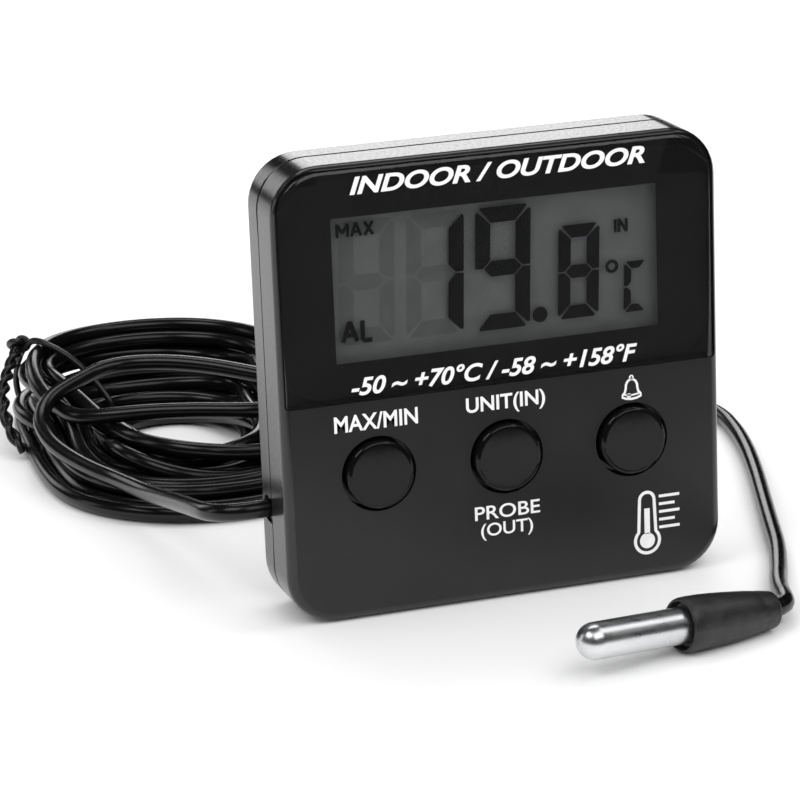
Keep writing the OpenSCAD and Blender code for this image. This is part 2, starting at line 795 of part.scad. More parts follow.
front_cover();
rear_cover();
display_lens();
display_mask();
lcd_front_glass();
lcd_rear_glass();
lcd_reflector();
lcd_frame();
zebra_strip();
circuit_board();
driver_chip();
timing_crystal();
board_components();
alarm_buzzer();
air_sensor();
at_button(1) switch_body();  // switch_body_1
at_button(2) switch_body();  // switch_body_2
at_button(3) switch_body();  // switch_body_3
at_button(1) switch_plunger();  // switch_plunger_1
at_button(2) switch_plunger();  // switch_plunger_2
at_button(3) switch_plunger();  // switch_plunger_3
at_button(1) button();  // button_max_min
at_button(2) button();  // button_in_out
at_button(3) button();  // button_alarm
board_screws();
case_screws();
battery_cell();
battery_contact_positive();
battery_spring_negative();
battery_wires();
battery_door();
fold_out_stand();
cord_grommet();
cord_jacket_end();
cord_cores();
cord_lead();
cord_hank();
cord_tail();
cord_tie();
probe_sleeve();
probe_tip();
probe_sensor();
probe_potting();
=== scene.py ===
import math

import bmesh
import bpy
import numpy as np
from mathutils import Matrix, Vector


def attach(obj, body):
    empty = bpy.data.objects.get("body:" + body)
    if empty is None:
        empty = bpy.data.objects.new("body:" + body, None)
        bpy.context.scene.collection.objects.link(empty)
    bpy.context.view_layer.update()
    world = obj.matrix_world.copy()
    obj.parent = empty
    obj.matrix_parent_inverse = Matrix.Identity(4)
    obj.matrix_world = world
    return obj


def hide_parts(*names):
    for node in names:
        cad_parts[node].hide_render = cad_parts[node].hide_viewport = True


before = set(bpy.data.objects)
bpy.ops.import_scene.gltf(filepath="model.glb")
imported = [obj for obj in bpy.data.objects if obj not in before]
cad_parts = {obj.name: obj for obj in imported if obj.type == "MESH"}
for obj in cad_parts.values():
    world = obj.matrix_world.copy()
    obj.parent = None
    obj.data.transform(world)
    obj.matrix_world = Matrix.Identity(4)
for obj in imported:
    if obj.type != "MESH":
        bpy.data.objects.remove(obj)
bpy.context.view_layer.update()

MM = 0.001
FRONT_Y = -6.4
scene = bpy.context.scene

# ---------------------------------------------------------------- camera

CAMERA_PLACE = (-170.144, -482.482, 178.396)
CAMERA_RIGHT = (0.94767, -0.31706, -0.03745)
CAMERA_UP = (0.12246, 0.25267, 0.95977)
CAMERA_BACK = (-0.29484, -0.91413, 0.27828)
CAMERA_LENS = 157.54


def add_camera():
    data = bpy.data.cameras.new("camera")
    data.lens = CAMERA_LENS
    data.sensor_width = 36
    data.clip_start = 0.01
    data.clip_end = 50
    turn = Matrix((CAMERA_RIGHT, CAMERA_UP, CAMERA_BACK)).transposed().normalized()
    camera = bpy.data.objects.new("camera", data)
    camera.matrix_world = Matrix.Translation(Vector(CAMERA_PLACE) * MM) @ turn.to_4x4()
    scene.collection.objects.link(camera)
    scene.camera = camera


add_camera()

# ---------------------------------------------------------------- materials

for packed in list(bpy.data.materials):
    packed.name = "packed_" + packed.name


def linear(level):
    """One colour channel from a display level of 0 to 255."""
    v = level / 255
    return v / 12.92 if v <= 0.04045 else ((v + 0.055) / 1.055) ** 2.4


def colour(rgb):
    return tuple(linear(v) for v in rgb) + (1.0,)


NOISE_SPAN = (0.3, 0.7)
SPOT_SPAN = (0.5, 0.56)
DRIFT_DETAIL = 4
GRAIN_DETAIL = 3


def material(
    name,
    dark,
    light,
    rough=(0.4, 0.5),
    patch=400,
    grain=3000,
    bump=0.0,
    bump_deep=0.02,
    stretch=(1, 1, 1),
    metal=0.0,
    ior=1.5,
    alpha=1.0,
    spotted=False,
):
    """A finish whose colour drifts from dark to light in patches, with a fine grain in its
    roughness and relief. The relief is bump_deep mm deep, and spotted makes its patches crisp."""
    m = bpy.data.materials.new(name)
    m.use_nodes = True
    tree = m.node_tree
    shader = tree.nodes["Principled BSDF"]
    place = tree.nodes.new("ShaderNodeTexCoord")
    scale = tree.nodes.new("ShaderNodeMapping")
    scale.inputs["Scale"].default_value = stretch
    tree.links.new(place.outputs["Object"], scale.inputs["Vector"])
    drift = tree.nodes.new("ShaderNodeTexNoise")
    drift.inputs["Scale"].default_value = patch
    drift.inputs["Detail"].default_value = DRIFT_DETAIL
    ramp = tree.nodes.new("ShaderNodeValToRGB")
    span = SPOT_SPAN if spotted else NOISE_SPAN
    for stop, at, rgb in zip(ramp.color_ramp.elements, span, (dark, light)):
        stop.position = at
        stop.color = colour(rgb)
    fine = tree.nodes.new("ShaderNodeTexNoise")
    fine.inputs["Scale"].default_value = grain
    fine.inputs["Detail"].default_value = GRAIN_DETAIL
    spread = tree.nodes.new("ShaderNodeMapRange")
    spread.inputs["From Min"].default_value = NOISE_SPAN[0]
    spread.inputs["From Max"].default_value = NOISE_SPAN[1]
    spread.inputs["To Min"].default_value = rough[0]
    spread.inputs["To Max"].default_value = rough[1]
    for noise in (drift, fine):
        tree.links.new(scale.outputs["Vector"], noise.inputs["Vector"])
    tree.links.new(drift.outputs["Fac"], ramp.inputs["Fac"])
    tree.links.new(ramp.outputs["Color"], shader.inputs["Base Color"])
    tree.links.new(fine.outputs["Fac"], spread.inputs["Value"])
    tree.links.new(spread.outputs["Result"], shader.inputs["Roughness"])
    if bump:
        relief = tree.nodes.new("ShaderNodeBump")
        relief.inputs["Strength"].default_value = bump
        relief.inputs["Distance"].default_value = bump_deep * MM
        tree.links.new(fine.outputs["Fac"], relief.inputs["Height"])
        tree.links.new(relief.outputs["Normal"], shader.inputs["Normal"])
    shader.inputs["Metallic"].default_value = metal
    shader.inputs["IOR"].default_value = ior
    shader.inputs["Alpha"].default_value = alpha
    return m


FINISH = {
    "case_black": material(
        "case_black", (18, 18, 19), (24, 24, 25), (0.36, 0.48), 90, 2600, 0.25, 0.03
    ),
    "case_side": material(
        "case_side", (26, 26, 27), (33, 33, 34), (0.16, 0.26), 90, 1800, 0.15, 0.02
    ),
    "lens_smoke": material(
        "lens_smoke", (30, 30, 32), (36, 36, 38), (0.02, 0.05), 120, 900, ior=2.2, alpha=0.3
    ),
    "mask_black": material(
        "mask_black", (20, 20, 21), (27, 27, 28), (0.55, 0.7), 300, 3000, 0.1
    ),
    "lcd_clear": material(
        "lcd_clear", (90, 92, 92), (96, 98, 98), (0.1, 0.16), 200, 1500, ior=1.5, alpha=0.05
    ),
    "lcd_glass": material(
        "lcd_glass", (168, 170, 170), (182, 184, 184), (0.5, 0.62), 260, 5000, 0.08
    ),
    "lcd_reflector": material(
        "lcd_reflector", (176, 178, 178), (190, 192, 191), (0.3, 0.5), 500, 6000, 0.2
    ),
    "inner_plastic": material(
        "inner_plastic", (62, 63, 64), (74, 75, 76), (0.45, 0.6), 200, 2500, 0.2
    ),
    "zebra_rubber": material(
        "zebra_rubber",
        (40, 40, 42),
        (168, 158, 150),
        (0.6, 0.75),
        2500,
        2500,
        0.1,
        stretch=(1, 0.02, 0.02),
    ),
    "board_green": material(
        "board_green", (20, 74, 42), (34, 98, 58), (0.28, 0.4), 700, 2500, 0.15
    ),
    "resin_black": material(
        "resin_black", (16, 16, 17), (24, 24, 25), (0.2, 0.35), 400, 1200, 0.3
    ),
    "steel": material(
        "steel",
        (170, 172, 174),
        (206, 207, 208),
        (0.22, 0.36),
        900,
        3000,
        0.12,
        metal=1.0,
    ),
    "component_tan": material(
        "component_tan",
        (58, 48, 40),
        (186, 152, 110),
        (0.35, 0.55),
        900,
        2500,
        0.1,
        spotted=True,
    ),
    "plunger_cream": material(
        "plunger_cream", (206, 198, 178), (220, 212, 192), (0.4, 0.5), 300, 2500, 0.1
    ),
    "button_gloss": material(
        "button_gloss", (12, 12, 13), (16, 16, 17), (0.06, 0.11), 140, 1400, 0.03, 0.02, ior=1.33
    ),
    "battery_wrap": material(
        "battery_wrap", (44, 84, 128), (60, 104, 150), (0.25, 0.4), 150, 2200, 0.1
    ),
    "wire_red": material(
        "wire_red", (150, 26, 24), (182, 40, 34), (0.3, 0.45), 500, 2500, 0.1
    ),
    "cord_black": material(
        "cord_black", (9, 9, 10), (14, 14, 15), (0.22, 0.26), 160, 700, 0.012, 0.02, ior=1.42
    ),
    "tie_black": material(
        "tie_black", (14, 14, 15), (22, 22, 23), (0.24, 0.36), 500, 2400, 0.2
    ),
    "sleeve_rubber": material(
        "sleeve_rubber", (24, 24, 25), (42, 42, 43), (0.32, 0.55), 420, 2600, 0.6, 0.05
    ),
    "tip_steel": material(
        "tip_steel",
        (208, 210, 212),
        (228, 229, 230),
        (0.26, 0.34),
        300,
        1400,
        0.04,
        stretch=(0.15, 1, 1),
        metal=1.0,
    ),
    "potting_resin": material(
        "potting_resin", (96, 80, 58), (120, 100, 74), (0.3, 0.45), 400, 2000, 0.2
    ),
    "ink_white": material(
        "ink_white", (238, 238, 238), (248, 248, 248), (0.45, 0.6), 600, 5000, 0.1
    ),
    "lcd_dark": material(
        "lcd_dark", (8, 8, 9), (12, 12, 13), (0.35, 0.5), 500, 5000, 0.05
    ),
    "lcd_ghost": material(
        "lcd_ghost", (150, 152, 152), (163, 165, 165), (0.5, 0.6), 300, 5000, 0.05
    ),
}

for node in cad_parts.values():
    node.data.materials[0] = FINISH[node.data.materials[0].name.removeprefix("packed_")]

# ---------------------------------------------------------------- mesh helpers

CASE_HALF = 35.0
CASE_CORNER = 7.5
PARTING_Y = FRONT_Y + 8.0
PARTING_RIM = 0.3
EXIT_Z = 16.2
EXIT_CLEAR = 3.5
PARTING_CHAMFER = 0.36
WELD = 0.001 * MM
FLAT_WITHIN = math.radians(0.4)
SHARP_ANGLE = 32
FACING_FORWARD = -0.97


def add_mesh(name, bm, finish, body, smooth_angle=35):
    bmesh.ops.recalc_face_normals(bm, faces=bm.faces)
    mesh = bpy.data.meshes.new(name)
    bm.to_mesh(mesh)
    bm.free()
    mesh.polygons.foreach_set("use_smooth", [True] * len(mesh.polygons))
    mesh.set_sharp_from_angle(angle=math.radians(smooth_angle))
    mesh.materials.append(FINISH[finish])
    piece = bpy.data.objects.new(name, mesh)
    scene.collection.objects.link(piece)
    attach(piece, body)
    return piece


def outline_gap(x, z):
    """How far outside the housing's outline a point is, in mm; below 0 inside it."""
    across = abs(x) - (CASE_HALF - CASE_CORNER)
    up = abs(z - CASE_HALF) - (CASE_HALF - CASE_CORNER)
    return math.hypot(max(across, 0), max(up, 0)) + min(max(across, up), 0) - CASE_CORNER


def dress(node, body, slot, bevel=0.1, segments=2, groove=0.0, side=None, squeeze=0.0):
    """A copy of a CAD node with its flat faces joined, its curves smooth and its sharp edges
    softened. groove is the chamfer along the parting line, side a finish for the faces that
    don't look forward, and squeeze how much thinner it is made at its back."""
    bm = bmesh.new()
    bm.from_mesh(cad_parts[node].data)
    bmesh.ops.remove_doubles(bm, verts=bm.verts, dist=WELD)
    bmesh.ops.dissolve_limit(bm, angle_limit=FLAT_WITHIN, verts=bm.verts, edges=bm.edges)
    if squeeze:
        deepest = max(v.co.y for v in bm.verts)
        for v in bm.verts:
            if v.co.y > deepest - 0.01 * MM:
                v.co.y -= squeeze * MM
    rim = bm.edges.layers.float.new("bevel_weight_edge")
    for edge in bm.edges:
        on_parting = all(
            abs(v.co.y / MM - PARTING_Y) < 0.02
            and outline_gap(v.co.x / MM, v.co.z / MM) > -PARTING_RIM
            and (v.co.x > 0 or abs(v.co.z / MM - EXIT_Z) > EXIT_CLEAR)
            for v in edge.verts
        )
        edge[rim] = 1.0 if on_parting else 0.0
    piece = add_mesh(node + "_moulded", bm, slot, body, SHARP_ANGLE)
    if side:
        piece.data.materials.append(FINISH[side])
        for face in piece.data.polygons:
            face.material_index = 0 if face.normal.y < FACING_FORWARD else 1
    if groove:
        parting = piece.modifiers.new("parting", "BEVEL")
        parting.width = groove * MM
        parting.segments = 1
        parting.limit_method = "WEIGHT"
    soften = piece.modifiers.new("soften", "BEVEL")
    soften.width = bevel * MM
    soften.segments = segments
    soften.limit_method = "ANGLE"
    soften.angle_limit = math.radians(SHARP_ANGLE)
    soften.harden_normals = True
    even = piece.modifiers.new("even", "WEIGHTED_NORMAL")
    even.keep_sharp = True
    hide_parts(node)
    return piece


def add_plate(bm, outline, near, far):
    """A flat plate of any outline in the front plane, from depth near to depth far."""
    front = [bm.verts.new((x * MM, (FRONT_Y + near) * MM, z * MM)) for x, z in outline]
    back = [bm.verts.new((x * MM, (FRONT_Y + far) * MM, z * MM)) for x, z in outline]
    bm.faces.new(front)
    bm.faces.new(back[::-1])
    count = len(outline)
    for i in range(count):
        j = (i + 1) % count
        bm.faces.new((front[i], back[i], back[j], front[j]))


def add_stroke(bm, line, width, near, far, closed=False):
    """A drawn line of one width in the front plane."""
    count = len(line)
    sides = []
    for i in range(count):
        before = line[i - 1] if closed or i else line[i]
        after = line[(i + 1) % count] if closed or i < count - 1 else line[i]
        along = Vector((after[0] - before[0], after[1] - before[1])).normalized()
        across = Vector((-along.y, along.x)) * width / 2
        here = Vector(line[i])
        sides.append((here + across, here - across))
    rings = []
    for a, b in sides:
        corners = ((a, near), (b, near), (b, far), (a, far))
        rings.append(
            [bm.verts.new((p.x * MM, (FRONT_Y + d) * MM, p.y * MM)) for p, d in corners]
        )
    for i in range(count if closed else count - 1):
        here, there = rings[i], rings[(i + 1) % count]
        for k in range(4):
            n = (k + 1) % 4
            bm.faces.new((here[k], here[n], there[n], there[k]))
    if not closed:
        bm.faces.new(rings[0])
        bm.faces.new(rings[-1][::-1])


def round_outline(x, z, radius, count=28):
    return [
        (
            x + radius * math.cos(math.tau * i / count),
            z + radius * math.sin(math.tau * i / count),
        )
        for i in range(count)
    ]


# ---------------------------------------------------------------- the cord's route

CORD_D = 2.8
CORD_R = CORD_D / 2
LEAD_ROUTE = (
    (-34.6, 3.6, 16.2),
    (-36.6, 3.6, 16.15),
    (-39, 4.1, 16),
    (-41.1, 5.5, 15.7),
    (-42.5, 7.6, 15.3),
    (-43.1, 10.3, 14.8),
    (-43.3, 14, 14.1),
    (-43.4, 21, 12.7),
    (-43.4, 31, 10.6),
    (-43.8, 43, 8.3),
    (-45, 52, 7.3),
    (-46.2, 58, 6.9),
)
LOOP_ROUTE = (
    (-47.8, 63, 6.9),
    (-49.4, 69, 7.0),
    (-51, 75.5, 7.5),
    (-51.8, 81, 8.3),
    (-51.6, 86.5, 9.8),
    (-49.4, 90.6, 11.8),
    (-46, 93, 13),
    (-42, 95, 14),
    (-38, 96.6, 14.8),
    (-33, 96, 15.3),
    (-27, 92.6, 15.6),
    (-21, 88, 15.4),
    (-15.5, 83, 14.8),
    (-11.2, 78.5, 14.2),
    (-9.7, 74.6, 13.7),
    (-10.3, 71.2, 13.1),
    (-12.9, 68.6, 12.6),
    (-16.6, 68, 12.3),
    (-20.6, 69.7, 12.1),
    (-27.5, 74.2, 11.8),
    (-34.5, 78.4, 11.3),
    (-40.5, 81.6, 10.6),
    (-44.4, 84.8, 10),
    (-46.4, 89, 9.8),
    (-47.2, 94, 10.2),
    (-47.6, 99.5, 11.4),
    (-47.5, 105, 12.8),
)
TAIL_ROUTE = (
    (-9, 129.1, 1.4),
    (0, 124.5, 1.4),
    (12, 119, 1.4),
    (26, 113, 1.4),
    (38, 107, 1.4),
    (49, 99, 1.4),
    (58, 88.5, 1.4),
    (63.8, 77, 1.4),
    (65.8, 66, 1.4),
    (64.6, 56, 1.4),
    (61.6, 44, 1.4),
    (57.5, 31, 1.4),
    (53, 18, 1.4),
    (49, 6.5, 1.4),
    (45, -5, 1.4),
    (41.2, -14, 1.5),
    (38, -21, 1.8),
    (36.1, -26, 2.1),
    (35.1, -29, 2.4),
    (34.45, -31.3, 2.6),
    (33.5, -33.2, 2.7),
    (32.1, -34.5, 2.8),
    (30.5, -35.2, 2.84),
)
PROBE_PLACE = Vector((30.5, -35.2, 2.84))
PROBE_YAW = math.radians(194)
PROBE_PITCH = math.radians(-4.2)
PROBE_TURN = Matrix.Rotation(PROBE_YAW, 4, "Z") @ Matrix.Rotation(PROBE_PITCH, 4, "Y")
CORD_IN_SLEEVE = 3.0

COIL_X = -26.0
COIL_Y = 91.6
COIL_MEAN_R = 17.5
COIL_STRAIGHT = 29.5
COIL_TURNS = 14.18
COIL_START = 1.2
COIL_FRONT = 59.3
HEAP_FROM = 62
HEAP_OVER = 50
STEP = 1.8
ROUTE_PARTS = 12
TIE_SPOT = (-41.0, 114.0)
TIE_WIRE_R = 0.6
TIE_SPREAD = 90.0


def spline(points, parts):
    """A smooth line through the points, as parts short pieces between each pair."""
    p = np.array(points, float)
    q = np.vstack([2 * p[0] - p[1], p, 2 * p[-1] - p[-2]])
    out = []
    for i in range(1, len(q) - 2):
        a, b, c, d = q[i - 1], q[i], q[i + 1], q[i + 2]
        for s in range(parts):
            t = s / parts
            cubic = (3 * b - a - 3 * c + d) * t**3
            out.append(
                0.5 * (2 * b + (c - a) * t + (2 * a - 5 * b + 4 * c - d) * t * t + cubic)
            )
    out.append(p[-1])
    return np.array(out)


def line_length(p):
    return float(np.linalg.norm(np.diff(p, axis=0), axis=1).sum())


def resample(p, step):
    """The same line with its points step apart."""
    run = np.r_[0, np.cumsum(np.linalg.norm(np.diff(p, axis=0), axis=1))]
    count = max(2, int(round(run[-1] / step)))
    at = np.linspace(0, run[-1], count + 1)
    return np.stack([np.interp(at, run, p[:, k]) for k in range(3)], 1)


def oval(turn, out):
    """A place on the coil's oval, clockwise from its front left, out from the middle line."""
    half = COIL_STRAIGHT / 2
    bend = math.pi * COIL_MEAN_R
    run = (turn % 1) * 2 * (bend + COIL_STRAIGHT)
    r = COIL_MEAN_R + out
    if run < COIL_STRAIGHT:
        return COIL_X - r, COIL_Y - half + run
    run -= COIL_STRAIGHT
    if run < bend:
        a = math.pi - run / COIL_MEAN_R
        return COIL_X + r * math.cos(a), COIL_Y + half + r * math.sin(a)
    run -= bend
    if run < COIL_STRAIGHT:
        return COIL_X + r, COIL_Y + half - run
    a = -(run - COIL_STRAIGHT) / COIL_MEAN_R
    return COIL_X + r * math.cos(a), COIL_Y - half + r * math.sin(a)


def ease(t):
    return t * t * (3 - 2 * t)


def backness(y):
    """0 at the coil's front end, where it lies low, and 1 at its back, where it is heaped up."""
    return ease(np.clip((y - HEAP_FROM) / HEAP_OVER, 0, 1))


FRONT_SLOTS = (
    (0.2, 6.4), (-2.8, 6.4), (1.4, 3.9), (-4.3, 3.9),
    (4.2, 3.9), (-1.4, 3.9), (-5.6, 6.2), (-7.2, 3.9),
    (-8.6, 1.4), (-2.9, 1.4), (-5.7, 1.4), (2.8, 1.4),
    (0.0, 1.4), (5.6, 1.4), (8.0, 1.4), (8.0, 1.4),
)
BACK_SLOTS = (
    (5.6, 15.6), (3.6, 12.8), (6.6, 12.8), (2.2, 9.9),
    (5.2, 9.9), (1.2, 7.0), (-1.7, 6.4), (-3.4, 4.0),
    (-5.4, 1.4), (-0.4, 4.0), (-2.4, 1.4), (4.1, 7.0),
    (6.9, 7.0), (2.6, 4.1), (5.6, 4.1), (7.6, 1.4),
)
POINTS_PER_TURN = 90
SLOT_AHEAD = 0.2
INNER_SPAN = 8
MID_LEFT = 0.09
SIDE_PINCH = 0.4
LEFT_PINCH = 2.0
BRIDGE_FROM = 2.4
BRIDGE_TO = 4.4
BRIDGE_AT = 0.58
BRIDGE_WIDTH = 0.14
BRIDGE_RISE = 3.0
BRIDGE_INWARD = 6.0
WANDER_OUT = 0.9
WANDER_UP = 0.6
INNERMOST = -7.0
INNERMOST_SIDES = 0.9
OUTERMOST = 8.4
FRONT_DRAWN_BACK = 0.2


def slot_between(slots, turn):
    """Where the turn lies across the bundle (out from its middle, up), in mm, easing from one
    turn's slot to the next."""
    j = min(len(slots) - 1, math.floor(turn))
    here, there = np.array(slots[j]), np.array(slots[min(len(slots) - 1, j + 1)])
    return here + (there - here) * ease(min(1.0, turn - j))


def wind_turns():
    """The turns as wound by hand: each has its slot in the flat front of the coil and in the heap
    at its back, and wanders round it. A few early turns bow inward over the coil's right side."""
    points = []
    count = int(COIL_TURNS * POINTS_PER_TURN)
    for i in range(count + 1):
        t = COIL_START + COIL_TURNS * i / count
        s = t % 1
        low = slot_between(FRONT_SLOTS, t - COIL_START + SLOT_AHEAD)
        heaped = slot_between(BACK_SLOTS, t - COIL_START + SLOT_AHEAD)
        back = float(backness(oval(s, 0)[1]))
        u, z = low * (1 - back) + heaped * back
        inner = ease(min(1.0, max(0.0, 0.5 - heaped[0] / INNER_SPAN)))
        side = math.cos(math.tau * (s - MID_LEFT))
        u -= SIDE_PINCH * inner * side * side + LEFT_PINCH * max(0, side) ** 2
        bridge = 0.0
        if BRIDGE_FROM < t - COIL_START < BRIDGE_TO:
            bridge = math.exp(-(((s - BRIDGE_AT) / BRIDGE_WIDTH) ** 2))
        z += BRIDGE_RISE * bridge
        u += WANDER_OUT * math.sin(1.7 * t + 1) + WANDER_OUT * math.sin(math.tau * s + 2.9 * t)
        z += WANDER_UP * math.sin(2 * math.tau * s + 1.3 * t) * (1 - 0.5 * back)
        u = max(INNERMOST - INNERMOST_SIDES * side * side, min(OUTERMOST, u))
        x, y = oval(s, u - BRIDGE_INWARD * bridge)
        y = COIL_FRONT + (y - COIL_FRONT) * (1 - FRONT_DRAWN_BACK * inner)
        points.append((x, y, max(CORD_R, z)))
    return np.array(points)


def floor_under(p):
    """The lowest height of the cord's centre at each point: on the floor, or on the tie that
    passes under it."""
    off = (p[:, 0] - TIE_SPOT[0]) ** 2 + (p[:, 1] - TIE_SPOT[1]) ** 2
    return CORD_R + 2 * TIE_WIRE_R * np.exp(-off / TIE_SPREAD)


def bowed(v, reach):
    """How far the middle of each stretch lies from the chord between its ends, reach points
    away on both sides."""
    out = np.zeros_like(v)
    out[reach:-reach] = (v[: -2 * reach] + v[2 * reach :]) / 2 - v[reach:-reach]
    return out


SETTLE_STEPS = 200
SINK_STEPS = 0.7
SINK_STEP = 0.02
LOOK_EVERY = 5
LOOK_WITHIN = CORD_D + 1.2
KEPT_APART = CORD_D + 0.1
SAME_STRETCH = 6
FREE_BEFORE = 10
FREE_AFTER = 16
FREE_FADE = 16
BLUR_PASSES = 4
PUSH_GAIN = 1.3
LONGEST_MOVE = 0.5
SMOOTHING = (0.5, -0.52)


def settle_cord():
    """The whole cord's centreline, in mm. The lead, the first loop and the tail keep their
    places. The turns between them sink and push apart until they lie a diameter apart, and are
    smoothed without shrinking, as one line."""
    lead = resample(spline(LEAD_ROUTE, ROUTE_PARTS), STEP)
    loop = resample(spline((LEAD_ROUTE[-1],) + LOOP_ROUTE, ROUTE_PARTS), STEP)[1:]
    tail = resample(spline(TAIL_ROUTE, ROUTE_PARTS), STEP)
    p = resample(np.vstack([lead, loop, wind_turns()[4:-3], tail]), STEP)
    run = np.r_[0, np.cumsum(np.linalg.norm(np.diff(p, axis=0), axis=1))]
    first = line_length(lead) + line_length(loop) - FREE_BEFORE
    last = run[-1] - line_length(tail) + FREE_AFTER
    w = np.clip(np.minimum(run - first, last - run) / FREE_FADE, 0, 1)
    for it in range(SETTLE_STEPS):
        if it % LOOK_EVERY == 0:
            sq = (p**2).sum(1)
            near = sq[:, None] + sq[None] - 2 * p @ p.T < LOOK_WITHIN**2
            ii, jj = np.nonzero(np.triu(near, SAME_STRETCH))
        if it < SETTLE_STEPS * SINK_STEPS:
            p[:, 2] -= SINK_STEP * w
        d = p[jj] - p[ii]
        length = np.linalg.norm(d, axis=1) + 1e-9
        hit = length < KEPT_APART
        a, b = ii[hit], jj[hit]
        share = w[a] + w[b]
        share[share == 0] = 1
        push = ((KEPT_APART - length[hit]) / length[hit] / share)[:, None] * d[hit]
        move = np.zeros_like(p)
        for k in range(3):
            move[:, k] += np.bincount(b, push[:, k] * w[b], len(p))
            move[:, k] -= np.bincount(a, push[:, k] * w[a], len(p))
        for _ in range(BLUR_PASSES):
            move += 0.5 * bowed(move, 2)
        move *= PUSH_GAIN
        move[:, 2] += np.maximum(0, floor_under(p) - p[:, 2]) * (w > 0)
        size = np.maximum(np.linalg.norm(move, axis=1), 1e-9)
        p += move * (np.minimum(size, LONGEST_MOVE) / size * w)[:, None]
        for rate in SMOOTHING:
            for reach in (1, 2):
                p += rate * bowed(p, reach) * w[:, None]
        p[:, 2] = np.where(w > 0, np.maximum(p[:, 2], floor_under(p)), p[:, 2])
    inside = PROBE_TURN @ Vector((CORD_IN_SLEEVE, 0, 0)) + PROBE_PLACE
    return np.vstack([p, [tuple(inside)]])


def add_tube(name, points, radius, slot, body, closed=False, sides=4):
    """A curve of one spline through the points, in mm, with a round section."""
    data = bpy.data.curves.new(name, "CURVE")
    data.dimensions = "3D"
    data.bevel_depth = radius * MM
    data.bevel_resolution = sides
    data.use_fill_caps = True
    line = data.splines.new("POLY")
    line.points.add(len(points) - 1)
    for line_point, p in zip(line.points, points):
        line_point.co = (p[0] * MM, p[1] * MM, p[2] * MM, 1)
    line.use_cyclic_u = closed
    line.use_smooth = True
    data.materials.append(FINISH[slot])
    piece = bpy.data.objects.new(name, data)
    scene.collection.objects.link(piece)
    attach(piece, body)
    return piece


route = settle_cord()
every_other = route[::2] if len(route) % 2 else np.vstack([route[:-1:2], route[-1:]])
fine_route = spline(every_other, 3)
cord = add_tube("probe_cord", fine_route, CORD_R, "cord_black", "case")
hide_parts("cord_lead", "cord_hank", "cord_tail")

# ---------------------------------------------------------------- the tie round the coil

TIE_ALONG = Vector((0.62, -0.78)).normalized()
TIE_REACH = 3.0
TIE_NEAR = 9.0
TIE_SLACK = 0.09
TIE_STEP = 0.6
TIE_SIDES = 3


def hull_2d(points):
    """The corners of the points' convex hull, in order."""
    points = sorted(set(points))

    def half(seq):
        chain = []
        for p in seq:
            while len(chain) > 1:
                (ax, ay), (bx, by) = chain[-2:]
                if (bx - ax) * (p[1] - ay) - (by - ay) * (p[0] - ax) > 0:
                    break
                chain.pop()
            chain.append(p)
        return chain[:-1]

    return half(points) + half(points[::-1])


def tie_loop():
    """The wire round the turns of the coil that cross its plane near TIE_SPOT, bowed out a
    little between them."""
    across = Vector((-TIE_ALONG.y, TIE_ALONG.x))
    rim = []
    for x, y, z in route:
        off = Vector((x - TIE_SPOT[0], y - TIE_SPOT[1]))
        if abs(off.dot(across)) < TIE_REACH and abs(off.dot(TIE_ALONG)) < TIE_NEAR:
            rim += [
                (round(a, 3), round(b, 3))
                for a, b in round_outline(off.dot(TIE_ALONG), z, CORD_R + TIE_WIRE_R, 20)
            ]
    corners = np.array(hull_2d(rim))
    bent = []
    for here, there in zip(corners, np.roll(corners, -1, axis=0)):
        ahead = there - here
        out = np.array((ahead[1], -ahead[0])) * TIE_SLACK
        bent += [here + ahead * t + out * 4 * t * (1 - t) for t in np.linspace(0, 1, 12)[:-1]]
    loop = [
        (TIE_SPOT[0] + a * TIE_ALONG.x, TIE_SPOT[1] + a * TIE_ALONG.y, max(b, TIE_WIRE_R))
        for a, b in bent
    ]
    return resample(np.array(loop + loop[:1]), TIE_STEP)[:-1]


loop_points = tie_loop()
tie = add_tube("tie_loop", loop_points, TIE_WIRE_R, "tie_black", "case", True, TIE_SIDES)
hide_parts("cord_tie")


def outward(p):
    """How far up, left and back a point of the tie is: the knot sits where this is most."""
    return p[2] * 1.2 - (p[0] - TIE_SPOT[0]) + (p[1] - TIE_SPOT[1])


outer = Vector(max(loop_points, key=outward))
KNOT_SIZE = 0.72
KNOT_OPEN = 0.8
KNOT_DEEP = -1.3
KNOT_POINTS = 60
KNOT_SHIFT = Vector((-0.6, 0, 0.9))
TWIST_SHIFT = Vector((-0.8, 0, 0.6))
TWIST_STEP = 0.5
TWIST_RATE = 0.42
knot_points = []
for i in range(KNOT_POINTS):
    t = math.tau * i / KNOT_POINTS
    lobes = Vector(
        (
            (math.sin(t) + 2 * math.sin(2 * t)) * KNOT_OPEN,
            math.sin(3 * t) * KNOT_DEEP,
            (math.cos(t) - 2 * math.cos(2 * t)) * KNOT_OPEN,
        )
    )
    knot_points.append(outer + KNOT_SHIFT + lobes * KNOT_SIZE)
knot = add_tube("tie_knot", knot_points, TIE_WIRE_R, "tie_black", "case", True, TIE_SIDES)
TWIST_ROUTE = (
    tuple(outer + TWIST_SHIFT),
    (-50.6, 115.5, 11.6),
    (-53.2, 109.5, 9.4),
    (-54.2, 104.5, 6.6),
    (-53.8, 100.5, 3.6),
    (-52.4, 97.5, 1.4),
)
twist_line = resample(spline(TWIST_ROUTE, 10), TWIST_STEP)
